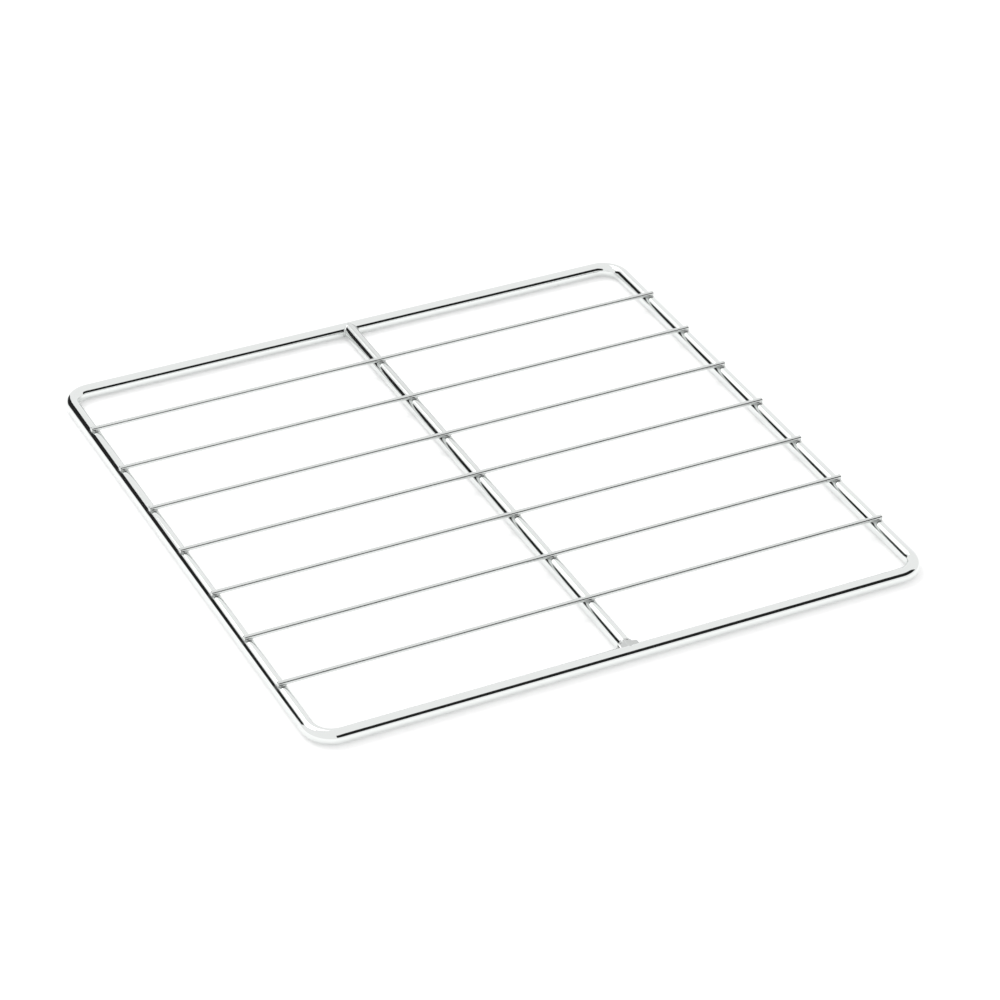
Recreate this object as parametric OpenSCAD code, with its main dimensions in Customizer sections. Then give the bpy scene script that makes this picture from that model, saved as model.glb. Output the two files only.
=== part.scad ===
// Fryer crumb screen: a square ring bent from one round rod and closed by a butt weld that is
// dressed flush, a centre bar of the same rod welded between its front and back rails, and
// thinner cross wires welded over the side rails and the centre bar. The wires hold back the
// crumbs and carry the food, and the oil passes between them.
// Millimetres. X runs along the front rail, Y towards the back rail and Z up. The origin is at
// the middle of the ring, on the surface that it rests on.

/* [Ring] */
// Overall width of the ring, left to right
ring_w = 343; // [300:1:460]
// Overall depth of the ring, front to back
ring_d = 343; // [300:1:460]
// Diameter of the rod that the ring and the centre bar are made of
rod_d = 7.94; // [6:0.02:10]
// Radius of the corner bends, to the centre line of the rod
bend_r = 12.5; // [10:0.5:30]

/* [Centre bar] */
// Leg of the weld fillets at the bar's front end, along the bar and along the rail
front_weld_leg = 2.4; // [1:0.1:4]
// Depth below the tops of the rods to which the front weld is dressed flat
front_weld_drop = 0.12; // [0.06:0.02:0.4]
// Leg of the weld fillets at the bar's back end
back_weld_leg = 1.2; // [0.6:0.1:3]
// Depth below the tops of the rods at which the back weld's fillets end
back_weld_drop = 1.2; // [0.6:0.1:2]
// Width of the ring of metal that the front weld squeezed up round the bar
upset_w = 1.2; // [0.8:0.1:2]
// Height of that ring of metal above the bar
upset_rise = 0.3; // [0.1:0.05:0.6]

/* [Cross wires] */
// Diameter of a cross wire
wire_d = 2.7; // [2:0.05:4]
// Distance from the ring's outer edge to the centre of the first wire, and of the last
end_gap = 47.6; // [35:0.1:60]
// Widest pitch of the wires that still holds back the crumbs, which sets how many there are
widest_pitch = 42; // [20:0.5:60]
// Distance of a wire's ends inside the outer edges of the side rails
wire_inset = 1.8; // [0.5:0.1:3]
// Depth that the welds let a wire down into the rods
weld_sink = 0.45; // [0.2:0.05:0.8]
// Chamfer on the sheared ends of a wire
wire_chamfer = 0.3; // [0.1:0.05:0.6]

/* [Hidden] */
$fn = 64;
rod_r = rod_d / 2;
wire_r = wire_d / 2;
// Centre lines of the side rails and of the front and back rails
side_x = ring_w / 2 - rod_r;
rail_y = ring_d / 2 - rod_r;
// Centres of the corner bends
bend_x = side_x - bend_r;
bend_y = rail_y - bend_r;
// Rows of wires, evenly spaced between the first and the last
row_span = ring_d - 2 * end_gap;
row_count = ceil(row_span / widest_pitch) + 1;
row_pitch = row_span / (row_count - 1);
// Height of the wires' centre lines
wire_z = rod_d + wire_r - weld_sink;
wire_len = ring_w - 2 * wire_inset;
// Step between the points of the upset ring's crown, whose edges are at -1 and 1
crown_step = 0.25;

// Rows are counted from the front
function wire_name(row) = str("cross_wire_", row);
function wire_y(row) = end_gap - ring_d / 2 + (row - 1) * row_pitch;

module rod_along_x(length) {
    rotate([0, 90, 0]) cylinder(h = length, d = rod_d, center = true);
}

module rod_along_y(length) {
    rotate([90, 0, 0]) cylinder(h = length, d = rod_d, center = true);
}

// Straight front or back rail, which the centre bar is coped to
module rail(side) {
    translate([0, side * rail_y, 0]) rod_along_x(2 * bend_x);
}

module side_rail(side) {
    translate([side * side_x, 0, 0]) rod_along_y(2 * bend_y);
}

module bend() {
    rotate_extrude(angle = 90) translate([bend_r, 0]) circle(d = rod_d);
}

module frame_ring() {
    color("gainsboro") translate([0, 0, rod_r]) {
        for (side = [-1, 1]) {
            rail(side);
            side_rail(side);
        }
        translate([bend_x, bend_y, 0]) bend();
        translate([-bend_x, bend_y, 0]) rotate(90) bend();
        translate([-bend_x, -bend_y, 0]) rotate(180) bend();
        translate([bend_x, -bend_y, 0]) rotate(270) bend();
    }
}

// Weld metal round one end of the bar, with the rail's centre line at z = 0 and Z along the bar:
// concave fillets to the left and right, which end flat at the same depth above and below
module bar_weld(leg, drop) {
    reach = rod_r + leg;
    half = rod_r - drop;
    intersection() {
        rotate_extrude() difference() {
            square(reach);
            translate([reach, reach]) circle(r = leg);
        }
        translate([-reach, -half, 0]) cube([2 * reach, 2 * half, reach]);
    }
}

// The ring of squeezed-up metal, round Z, with a parabola for its crown. Its lowest part is
// dressed off level with the rods, so that the screen lies flat.
module upset_ring() {
    crown = [for (t = [-1 : crown_step : 1]) [rod_r + upset_rise * (1 - t * t), t * upset_w / 2]];
    intersection() {
        rotate_extrude() polygon(concat([[0, -upset_w / 2]], crown, [[0, upset_w / 2]]));
        translate([-rod_d, -rod_d, -upset_w]) cube([2 * rod_d, rod_d + rod_r, 2 * upset_w]);
    }
}

module centre_bar() {
    color("silver") translate([0, 0, rod_r]) difference() {
        union() {
            rod_along_y(2 * rail_y);
            translate([0, -rail_y, 0]) rotate([-90, 0, 0]) {
                bar_weld(front_weld_leg, front_weld_drop);
                translate([0, 0, rod_r + front_weld_leg]) upset_ring();
            }
            translate([0, rail_y, 0]) rotate([90, 0, 0]) bar_weld(back_weld_leg, back_weld_drop);
        }
        rail(-1);
        rail(1);
    }
}

// A length of wire with its sheared ends chamfered, seated in saddles over the three rods
module cross_wire(row) {
    color("darkgray") difference() {
        translate([-wire_len / 2, wire_y(row), wire_z]) rotate([0, 90, 0]) {
            cylinder(h = wire_chamfer, r1 = wire_r - wire_chamfer, r2 = wire_r);
            translate([0, 0, wire_chamfer]) cylinder(h = wire_len - 2 * wire_chamfer, r = wire_r);
            translate([0, 0, wire_len - wire_chamfer])
                cylinder(h = wire_chamfer, r1 = wire_r, r2 = wire_r - wire_chamfer);
        }
        translate([0, 0, rod_r]) {
            side_rail(-1);
            side_rail(1);
            rod_along_y(2 * rail_y);
        }
    }
}

frame_ring();
centre_bar();
for (row = [1 : row_count]) cross_wire(row);
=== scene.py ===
# Fryer crumb screen: a bright rod ring with a centre bar, and thin wires welded across the top.
# Everything is in metres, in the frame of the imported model: X right, Y to the back, Z up.
from math import atan2, cos, hypot, inf, pi, radians, sin, sqrt, tan

import bmesh
import bpy
from mathutils import Matrix, Vector, noise


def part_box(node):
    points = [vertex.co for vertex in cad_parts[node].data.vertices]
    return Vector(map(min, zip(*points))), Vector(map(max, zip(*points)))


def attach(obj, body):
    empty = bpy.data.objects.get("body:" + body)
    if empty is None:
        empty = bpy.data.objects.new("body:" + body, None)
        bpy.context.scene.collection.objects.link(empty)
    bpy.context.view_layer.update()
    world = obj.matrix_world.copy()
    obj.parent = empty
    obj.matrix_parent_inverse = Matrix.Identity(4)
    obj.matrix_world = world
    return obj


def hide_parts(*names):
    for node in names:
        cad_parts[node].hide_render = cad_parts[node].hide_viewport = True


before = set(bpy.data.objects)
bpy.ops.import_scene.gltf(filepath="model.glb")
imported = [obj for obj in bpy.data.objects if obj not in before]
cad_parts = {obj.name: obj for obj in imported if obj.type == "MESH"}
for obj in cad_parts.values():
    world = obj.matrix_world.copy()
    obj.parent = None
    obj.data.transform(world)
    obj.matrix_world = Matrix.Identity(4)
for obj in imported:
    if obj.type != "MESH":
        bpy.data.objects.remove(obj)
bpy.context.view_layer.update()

# Frame ring: one round steel rod, bent cold to a square with round corners. Its ends meet in the
# front rail, just right of the centre bar, in a butt weld that is dressed flush before the
# whole screen is plated bright.
ring_low, ring_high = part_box("frame_ring")
rod_r = (ring_high.z - ring_low.z) / 2
rod_sides = 96
bend_r = 0.0125
bend_steps = 28
side_x = ring_high.x - rod_r
rail_y = ring_high.y - rod_r
closing_weld_x = 0.0042


def start_rod(radius, sides, centre, outwards):
    """A rod's first section, with up and outwards in its plane.

    Each corner keeps its turn round the rod and its distance along it, which whatever is
    extruded from it inherits.
    """
    mesh = bmesh.new()
    turn = mesh.verts.layers.float.new("turn")
    mesh.verts.layers.float.new("along")
    mesh.verts.layers.float.new("weld")
    bmesh.ops.create_circle(mesh, segments=sides, radius=radius)
    for corner in mesh.verts:
        corner[turn] = atan2(corner.co.y, corner.co.x)
    up = Vector((0, 0, 1))
    plane = Matrix((outwards, up, outwards.cross(up))).transposed().to_4x4()
    bmesh.ops.transform(mesh, matrix=Matrix.Translation(centre) @ plane, verts=mesh.verts)
    return mesh, list(mesh.edges)


def extend_rod(mesh, edges, length):
    """Extrude a rod's open end in place, and give the new corners and the new open end."""
    made = bmesh.ops.extrude_edge_only(mesh, edges=edges)["geom"]
    corners = [item for item in made if isinstance(item, bmesh.types.BMVert)]
    along = mesh.verts.layers.float["along"]
    for corner in corners:
        corner[along] += length
    return corners, [item for item in made if isinstance(item, bmesh.types.BMEdge) and item.is_boundary]


def draw_on(mesh, edges, step):
    corners, edges = extend_rod(mesh, edges, Vector(step).length)
    bmesh.ops.translate(mesh, verts=corners, vec=step)
    return edges


def bend_on(mesh, edges, centre):
    """Bend a rod's open end on by a quarter turn to the left."""
    angle = pi / 2 / bend_steps
    for _ in range(bend_steps):
        corners, edges = extend_rod(mesh, edges, bend_r * angle)
        bmesh.ops.rotate(mesh, verts=corners, cent=centre, matrix=Matrix.Rotation(angle, 3, "Z"))
    return edges


def finish_rod(mesh, name, crease=radians(40)):
    """Note the grain at each face's corners, close the seams and make the object."""
    turn, along = (mesh.verts.layers.float[layer] for layer in ("turn", "along"))
    grain = mesh.loops.layers.float_vector.new("grain")
    for face in mesh.faces:
        face.smooth = True
        for loop in face.loops:
            angle = loop.vert[turn]
            loop[grain] = (loop.vert[along], rod_r * cos(angle), rod_r * sin(angle))
    bmesh.ops.remove_doubles(mesh, verts=mesh.verts, dist=1e-6)
    bmesh.ops.recalc_face_normals(mesh, faces=mesh.faces)
    for edge in mesh.edges:
        edge.smooth = edge.calc_face_angle(0) < crease
    data = bpy.data.meshes.new(name)
    mesh.to_mesh(data)
    mesh.free()
    piece = bpy.data.objects.new(name, data)
    bpy.context.scene.collection.objects.link(piece)
    return piece


def ring_mesh():
    bend_x, bend_y = side_x - bend_r, rail_y - bend_r
    mesh, edges = start_rod(rod_r, rod_sides, (closing_weld_x, -rail_y, rod_r), Vector((0, -1, 0)))
    edges = draw_on(mesh, edges, (bend_x - closing_weld_x, 0, 0))
    edges = bend_on(mesh, edges, (bend_x, -bend_y, rod_r))
    edges = draw_on(mesh, edges, (0, 2 * bend_y, 0))
    edges = bend_on(mesh, edges, (bend_x, bend_y, rod_r))
    edges = draw_on(mesh, edges, (-2 * bend_x, 0, 0))
    edges = bend_on(mesh, edges, (-bend_x, bend_y, rod_r))
    edges = draw_on(mesh, edges, (0, -2 * bend_y, 0))
    edges = bend_on(mesh, edges, (-bend_x, -bend_y, rod_r))
    draw_on(mesh, edges, (bend_x + closing_weld_x, 0, 0))
    return mesh


def new_group(name, inputs, outputs):
    """An empty shader node group; gives it with its input and output nodes."""
    group = bpy.data.node_groups.new(name, "ShaderNodeTree")
    for way, sockets in (("INPUT", inputs), ("OUTPUT", outputs)):
        for label, kind in sockets:
            group.interface.new_socket(label, in_out=way, socket_type="NodeSocket" + kind)
    return group, group.nodes.new("NodeGroupInput"), group.nodes.new("NodeGroupOutput")


def drawing_lines():
    """Lines that the drawing die scored along a rod or wire, and the haze of the polishing."""
    group, given, out = new_group("drawing_lines", [("Grain", "Vector"), ("Line Width", "Float")],
                                  [("Lines", "Float"), ("Haze", "Float")])
    nodes, links = group.nodes, group.links
    along_scale = 0.012
    fineness = nodes.new("ShaderNodeMath")
    fineness.operation = "DIVIDE"
    fineness.inputs[0].default_value = 1
    links.new(given.outputs["Line Width"], fineness.inputs[1])
    stretched = nodes.new("ShaderNodeVectorMath")
    stretched.operation = "MULTIPLY"
    stretched.inputs[1].default_value = (along_scale, 1, 1)
    links.new(given.outputs["Grain"], stretched.inputs[0])
    lines = nodes.new("ShaderNodeTexNoise")
    lines.inputs["Detail"].default_value = 3
    links.new(stretched.outputs["Vector"], lines.inputs["Vector"])
    links.new(fineness.outputs["Value"], lines.inputs["Scale"])
    links.new(lines.outputs["Fac"], out.inputs["Lines"])
    patches = nodes.new("ShaderNodeVectorMath")
    patches.operation = "MULTIPLY"
    patches.inputs[1].default_value = (60, 260, 260)
    links.new(given.outputs["Grain"], patches.inputs[0])
    haze = nodes.new("ShaderNodeTexNoise")
    haze.inputs["Scale"].default_value = 1
    haze.inputs["Detail"].default_value = 4
    links.new(patches.outputs["Vector"], haze.inputs["Vector"])
    links.new(haze.outputs["Fac"], out.inputs["Haze"])
    return group


def row_marks():
    """Mask of the places where a row of evenly spaced pieces is welded on, along one axis."""
    group, given, out = new_group(
        "row_marks",
        [("Along", "Float"), ("First", "Float"), ("Pitch", "Float"), ("Last", "Float"),
         ("Inner", "Float"), ("Outer", "Float")],
        [("Mask", "Float")])
    nodes, links = group.nodes, group.links

    def math(operation, first, second=None):
        node = nodes.new("ShaderNodeMath")
        node.operation = operation
        for socket, value in zip(node.inputs, (first, second)):
            if value is not None:
                links.new(value, socket)
        return node.outputs["Value"]

    from_first = math("SUBTRACT", given.outputs["Along"], given.outputs["First"])
    row = math("ROUND", math("DIVIDE", from_first, given.outputs["Pitch"]))
    row = math("MINIMUM", row, given.outputs["Last"])
    positive = nodes.new("ShaderNodeMath")
    positive.operation = "MAXIMUM"
    positive.inputs[1].default_value = 0
    links.new(row, positive.inputs[0])
    off = math("SUBTRACT", from_first, math("MULTIPLY", positive.outputs["Value"], given.outputs["Pitch"]))
    fade = nodes.new("ShaderNodeMapRange")
    fade.interpolation_type = "SMOOTHSTEP"
    fade.inputs["To Min"].default_value = 1
    fade.inputs["To Max"].default_value = 0
    links.new(math("ABSOLUTE", off), fade.inputs["Value"])
    links.new(given.outputs["Inner"], fade.inputs["From Min"])
    links.new(given.outputs["Outer"], fade.inputs["From Max"])
    links.new(fade.outputs["Result"], out.inputs["Mask"])
    return group


line_group = drawing_lines()
mark_group = row_marks()


def plated(name, colour, roughness, line_width, line_depth, weld_axis, weld_rows, weld_side):
    """Plated steel with its drawing lines, rougher where other pieces are welded on and darker there in painted
    shade where the parts meet.

    weld_rows are the first place, the pitch and the last row's number along the weld axis, and
    weld_side the heights at which the welds' roughness and painted shade start and are full.
    """
    material = bpy.data.materials.new(name)
    material.use_nodes = True
    nodes, links = material.node_tree.nodes, material.node_tree.links
    metal = nodes["Principled BSDF"]
    metal.inputs["Metallic"].default_value = 1

    grain = nodes.new("ShaderNodeAttribute")
    grain.attribute_name = "grain"
    lines = nodes.new("ShaderNodeGroup")
    lines.node_tree = line_group
    lines.inputs["Line Width"].default_value = line_width
    links.new(grain.outputs["Vector"], lines.inputs["Grain"])

    place = nodes.new("ShaderNodeTexCoord")
    axes = nodes.new("ShaderNodeSeparateXYZ")
    links.new(place.outputs["Object"], axes.inputs["Vector"])
    marks = nodes.new("ShaderNodeGroup")
    marks.node_tree = mark_group
    for label, value in zip(("First", "Pitch", "Last", "Inner", "Outer"), (*weld_rows, 0.0012, 0.0034)):
        marks.inputs[label].default_value = value
    links.new(axes.outputs[weld_axis], marks.inputs["Along"])
    side = nodes.new("ShaderNodeMapRange")
    side.inputs["From Min"].default_value, side.inputs["From Max"].default_value = weld_side
    links.new(axes.outputs["Z"], side.inputs["Value"])
    # Painted shade: where the wires sit on the rods, this mask covers the tops of the rods and the undersides of
    # the wires.
    row_joints_and_shade = nodes.new("ShaderNodeMath")
    row_joints_and_shade.operation = "MULTIPLY"
    links.new(marks.outputs["Mask"], row_joints_and_shade.inputs[0])
    links.new(side.outputs["Result"], row_joints_and_shade.inputs[1])
    # The bar's welded ends, from its own attribute, get the same painted shade and roughness.
    own_weld_and_shade = nodes.new("ShaderNodeAttribute")
    own_weld_and_shade.attribute_name = "weld"
    joint_dulling_and_shade = nodes.new("ShaderNodeMath")
    joint_dulling_and_shade.operation = "MAXIMUM"
    links.new(row_joints_and_shade.outputs["Value"], joint_dulling_and_shade.inputs[0])
    links.new(own_weld_and_shade.outputs["Fac"], joint_dulling_and_shade.inputs[1])

    # Painted shade: under this mask the base colour falls to 0.72 of itself, standing in for the shade and dark
    # reflections where the parts meet.
    shade_at_joints = nodes.new("ShaderNodeMix")
    shade_at_joints.data_type = "RGBA"
    shade_at_joints.inputs["A"].default_value = (*colour, 1)
    shade_at_joints.inputs["B"].default_value = (*(0.72 * part for part in colour), 1)
    links.new(joint_dulling_and_shade.outputs["Value"], shade_at_joints.inputs["Factor"])
    links.new(shade_at_joints.outputs["Result"], metal.inputs["Base Color"])

    polish = nodes.new("ShaderNodeMapRange")
    polish.inputs["From Min"].default_value = 0.35
    polish.inputs["From Max"].default_value = 0.7
    polish.inputs["To Min"].default_value = roughness * 0.7
    polish.inputs["To Max"].default_value = roughness * 1.5
    links.new(lines.outputs["Haze"], polish.inputs["Value"])
    dulled = nodes.new("ShaderNodeMath")
    dulled.operation = "MULTIPLY_ADD"
    dulled.inputs[1].default_value = 0.16
    links.new(joint_dulling_and_shade.outputs["Value"], dulled.inputs[0])
    links.new(polish.outputs["Result"], dulled.inputs[2])
    links.new(dulled.outputs["Value"], metal.inputs["Roughness"])

    relief = nodes.new("ShaderNodeBump")
    relief.inputs["Strength"].default_value = 1
    relief.inputs["Distance"].default_value = line_depth
    links.new(lines.outputs["Lines"], relief.inputs["Height"])
    links.new(relief.outputs["Normal"], metal.inputs["Normal"])
    return material


wire_names = sorted(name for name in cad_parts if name.startswith("cross_wire"))
wire_boxes = [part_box(name) for name in wire_names]
row_y = sorted((low.y + high.y) / 2 for low, high in wire_boxes)
rod_rows = (row_y[0], row_y[1] - row_y[0], len(row_y) - 1)
# The last pair gives the heights, 5.6 to 7.4 mm, over which the rods' tops darken under the wires: painted shade.
bright = plated("bright_rod_plating", (0.80, 0.82, 0.81), 0.05, 0.0003, 0.000002,
                "Y", rod_rows, (0.0056, 0.0074))
ring = finish_rod(ring_mesh(), "frame_ring_rod")
ring.data.materials.append(bright)
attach(ring, "root")
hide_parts("frame_ring")

# Centre bar: a length of the same rod, upset-welded between the front and back rails. The front
# weld is wide, dressed level with the rods and ends in a ring of squeezed-up metal; the back
# weld is small, and leaves the two rods meeting in a sharp valley.
front_leg = 0.0024
front_drop = 0.00012
edge_round = 0.00035
upset_w = 0.0012
upset_rise = 0.0003
back_fillet = 0.0010
weld_roughness = 0.00005
flare_steps = 9
fillet_steps = 7
cope_steps = 4


def rail_surface(height):
    """Distance from a rail's centre line to its surface, at a height over that line."""
    return sqrt(max(rod_r ** 2 - height ** 2, 0))


def lesser(first, second, rounding):
    """The lesser of two lengths, with the change from one to the other rounded."""
    near = max(rounding - abs(first - second), 0) / rounding
    return min(first, second) - near ** 2 * rounding / 4


def front_point(turn, off, size=1):
    """Point of the bar's front end: off from the rail's centre line, or on the rail if nearer."""
    reach = rod_r + front_leg
    steep = max(abs(sin(turn)), 1e-6)
    flare = rod_r
    if off < reach:
        flare = reach - sqrt(front_leg ** 2 - min(reach - off, front_leg) ** 2)
    flare = lesser(flare, (rod_r - front_drop) / steep, edge_round) if flare > rod_r else rod_r
    crown = rod_r + upset_rise * (1 - ((off - reach) / upset_w * 2) ** 2)
    if sin(turn) < 0:
        crown = min(crown, rod_r / steep)
    radius = max(rod_r, flare, crown)
    if radius > rod_r:
        ripple = noise.noise(Vector((cos(turn), sin(turn), off / rod_r)) * 3.1)
        radius = max(rod_r, radius + weld_roughness * ripple)
        if sin(turn) < 0:
            radius = min(radius, rod_r / steep)
    x, height = size * radius * cos(turn), size * radius * sin(turn)
    return Vector((x, -rail_y + max(off, rail_surface(height)), rod_r + height))


def back_point(turn, roll, size=1):
    """Point of the bar's back end: on the bar at roll 0, on the rail at 1, on a fillet between."""
    reach = rod_r + back_fillet
    centre = Vector((reach * cos(turn), reach * abs(cos(turn)), reach * sin(turn)))
    to_bar = Vector((-cos(turn), 0, -sin(turn)))
    to_rail = Vector((0, -abs(cos(turn)), -sin(turn)))
    point = centre + back_fillet * to_bar.lerp(to_rail, roll).normalized()
    if size < 1:
        point = Vector((size * point.x, rail_surface(size * point.z), size * point.z))
    return Vector((point.x, rail_y - point.y, rod_r + point.z))


def bar_mesh():
    reach = rod_r + front_leg
    sections = [(front_point, (0, step / cope_steps), 1) for step in range(cope_steps)]
    sections += [(front_point, (0,), 1)]
    for step in range(flare_steps + 1):
        sections.append((front_point, (reach - front_leg * cos(pi / 2 * step / flare_steps),), 1))
    sections = [section for section in sections if section[1][0] < reach - upset_w / 2]
    for step in range(9):
        sections.append((front_point, (reach + upset_w / 2 * (step / 4 - 1),), 1))
    sections += [(front_point, (reach + upset_w / 2 + 0.0004,), 0)]
    sections += [(back_point, (0,), 0), (back_point, (0.0001,), 1)]
    sections += [(back_point, (step / fillet_steps,), 1) for step in range(1, fillet_steps + 1)]
    sections += [(back_point, (1, 1 - step / cope_steps), 1) for step in range(1, cope_steps + 1)]

    mesh, edges = start_rod(rod_r, rod_sides, (0, 0, 0), Vector((1, 0, 0)))
    turn, along, weld = (mesh.verts.layers.float[layer] for layer in ("turn", "along", "weld"))
    corners = list(mesh.verts)
    # Sections at the welded ends are flagged for the rougher finish and the plating's painted shade.
    for number, (place, where, weld_and_shade_flag) in enumerate(sections):
        if number:
            corners, edges = extend_rod(mesh, edges, 0)
        for corner in corners:
            corner.co = place(corner[turn], *where)
            corner[along] = corner.co.y
            corner[weld] = weld_and_shade_flag
    return mesh


bar = finish_rod(bar_mesh(), "centre_bar_rod")
bar.data.materials.append(bright)
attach(bar, "root")
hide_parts("centre_bar")

# Cross wires: straight lengths of drawn steel wire, sheared to length and resistance-welded over
# the side rails and the centre bar, which they are let down into by half a millimetre. The
# welds squeeze a little metal out of each crossing.
wire_sides = 64
wire_chamfer = 0.0003
weld_fillet = 0.0009
crossings = (-side_x, 0, side_x)
section_step = 0.0002
sections_by_crossing = 17
march_step = 0.00005


def reach_to_rod(x, height, turn):
    """Distance from a wire's centre line down to the nearest rod's surface, in one direction."""
    off = min(abs(x - crossing) for crossing in crossings)
    if off >= rod_r or sin(turn) >= 0:
        return off, inf
    return off, (height - rod_r - sqrt(rod_r ** 2 - off ** 2)) / -sin(turn)


def wire_reach(x, height, turn, radius):
    """Distance from a wire's centre line to its surface: let down on the rod, with a fillet."""
    off, to_rod = reach_to_rod(x, height, turn)
    if to_rod <= radius:
        return to_rod
    if off > rod_r + weld_fillet:
        return radius
    reach, before = radius, 0
    while reach < to_rod:
        from_rod = hypot(off, height - rod_r + reach * sin(turn)) - rod_r
        outside = lesser(from_rod, reach - radius, weld_fillet)
        if outside >= 0:
            return reach - (march_step * outside / (outside - before) if before < 0 else 0)
        before = outside
        reach += march_step
    return to_rod


def wire_mesh(low, high):
    radius = (high.y - low.y) / 2
    y, z = (low.y + high.y) / 2, high.z - radius
    tip = radius - wire_chamfer
    sections = [(low.x, 0), (low.x, tip / 2), (low.x, tip)]
    sections += [(low.x + wire_chamfer, radius)]
    for crossing in crossings:
        for step in range(-sections_by_crossing, sections_by_crossing + 1):
            x = crossing + step * section_step
            if low.x + wire_chamfer + section_step / 2 < x < high.x - wire_chamfer - section_step / 2:
                sections.append((x, radius))
    sections += [(high.x - wire_chamfer, radius), (high.x, tip), (high.x, tip / 2), (high.x, 0)]

    mesh, edges = start_rod(radius, wire_sides, (0, 0, 0), Vector((0, 1, 0)))
    turn, along = (mesh.verts.layers.float[layer] for layer in ("turn", "along"))
    corners = list(mesh.verts)
    for number, (x, size) in enumerate(sections):
        if number:
            corners, edges = extend_rod(mesh, edges, 0)
        for corner in corners:
            angle = corner[turn]
            reach = wire_reach(x, z, angle, size) if size > tip / 2 else size
            corner.co = (x, y + reach * cos(angle), z + reach * sin(angle))
            corner[along] = x
    return mesh


# The wires' undersides darken below 8.6 mm where they sit on the rods: painted shade, and rougher there.
satin = plated("satin_wire_plating", (0.70, 0.72, 0.71), 0.16, 0.00022, 0.000004,
               "X", (-side_x, side_x, 2), (0.0086, 0.0078))
for name, (low, high) in zip(wire_names, wire_boxes):
    wire = finish_rod(wire_mesh(low, high), name + "_drawn")
    wire.data.materials.append(satin)
    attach(wire, "root")
    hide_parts(name)

# Table and studio: a matt white table in a white room, with dark cards that draw the lines in
# the metal. The table and the room show as plain white, and the table keeps the soft shadows.
table_size = 6
table_colour = 0.8
table_glow = 0.28


def show_white(nodes, links):
    """One for rays from the camera and for rays that the metal reflects, and else nought."""
    path = nodes.new("ShaderNodeLightPath")
    either = nodes.new("ShaderNodeMath")
    either.operation = "MAXIMUM"
    links.new(path.outputs["Is Camera Ray"], either.inputs[0])
    links.new(path.outputs["Is Glossy Ray"], either.inputs[1])
    return either.outputs["Value"]


def table_finish():
    material = bpy.data.materials.new("white_table")
    material.use_nodes = True
    nodes, links = material.node_tree.nodes, material.node_tree.links
    matt = nodes["Principled BSDF"]
    matt.inputs["Base Color"].default_value = (table_colour, table_colour, table_colour, 1)
    matt.inputs["Roughness"].default_value = 1
    matt.inputs["Specular IOR Level"].default_value = 0
    matt.inputs["Emission Color"].default_value = (1, 1, 1, 1)
    glow = nodes.new("ShaderNodeMath")
    glow.operation = "MULTIPLY"
    glow.inputs[1].default_value = table_glow
    links.new(show_white(nodes, links), glow.inputs[0])
    links.new(glow.outputs["Value"], matt.inputs["Emission Strength"])
    return material


def flat_card(name, width, height, material):
    mesh = bmesh.new()
    bmesh.ops.create_grid(mesh, x_segments=1, y_segments=1, size=0.5)
    bmesh.ops.scale(mesh, vec=(width, height, 1), verts=mesh.verts)
    data = bpy.data.meshes.new(name)
    mesh.to_mesh(data)
    mesh.free()
    card = bpy.data.objects.new(name, data)
    card.data.materials.append(material)
    bpy.context.scene.collection.objects.link(card)
    return card


table = flat_card("table", table_size, table_size, table_finish())

world = bpy.data.worlds.new("white_room")
bpy.context.scene.world = world
world.use_nodes = True
room = world.node_tree
backdrop = room.nodes["Background"]
backdrop.inputs["Color"].default_value = (1, 1, 1, 1)
backdrop.inputs["Strength"].default_value = 1


def reflected_card(name, azimuth, distance, width, bottom, top, brightness, lean=0):
    """A card that only the metal reflects, standing at an azimuth from the back, clockwise."""
    material = bpy.data.materials.new(name)
    material.use_nodes = True
    nodes, links = material.node_tree.nodes, material.node_tree.links
    nodes.remove(nodes["Principled BSDF"])
    glow = nodes.new("ShaderNodeEmission")
    glow.inputs["Strength"].default_value = brightness
    links.new(glow.outputs["Emission"], nodes["Material Output"].inputs["Surface"])
    card = flat_card(name, width, top - bottom, material)
    card.matrix_world = (Matrix.Rotation(-azimuth, 4, "Z") @ Matrix.Translation((0, distance, (bottom + top) / 2))
                         @ Matrix.Rotation(pi / 2 + lean, 4, "X"))
    card.visible_camera = False
    card.visible_diffuse = False
    card.visible_shadow = False
    card.visible_transmission = False
    return card


reflected_card("dark_card_front", radians(150), 1.2, 2.2, 0.32, 1.35, 0.02)
reflected_card("dark_card_left", radians(-35), 0.8, 0.7, 0.09, 0.5, 0.02)

key = bpy.data.lights.new("key", "AREA")
key.shape = "RECTANGLE"
key.size = 1.6
key.size_y = 1.0
key.energy = 12
key_lamp = bpy.data.objects.new("key", key)
key_lamp.location = (-0.5, 1.2, 1.8)
key_lamp.rotation_euler = (Vector((0, 0, 0)) - key_lamp.location).to_track_quat("-Z", "Y").to_euler()
bpy.context.scene.collection.objects.link(key_lamp)

# Camera: a long lens from the front left, a little over the screen, as in the photograph.
camera_azimuth = radians(-27.1066)
camera_elevation = radians(34.0482)
camera_roll = radians(1.2543)
camera_distance = 1.88444
camera_aim = Vector((0.003842, -0.015615, 0))
focal_px = 3609.26
frame_px = 1000

back = Vector((sin(camera_azimuth) * cos(camera_elevation),
               -cos(camera_azimuth) * cos(camera_elevation), sin(camera_elevation)))
right = Vector((0, 0, 1)).cross(back).normalized()
level = Matrix((right, back.cross(right), back)).transposed()
lens = bpy.data.cameras.new("camera")
lens.sensor_width = 36
lens.lens = focal_px / frame_px * lens.sensor_width
lens.clip_end = 20
camera = bpy.data.objects.new("camera", lens)
camera.matrix_world = (Matrix.Translation(camera_aim + back * camera_distance)
                       @ (level @ Matrix.Rotation(camera_roll, 3, "Z")).to_4x4())
bpy.context.scene.collection.objects.link(camera)
bpy.context.scene.camera = camera
bpy.context.scene.view_settings.view_transform = "Standard"
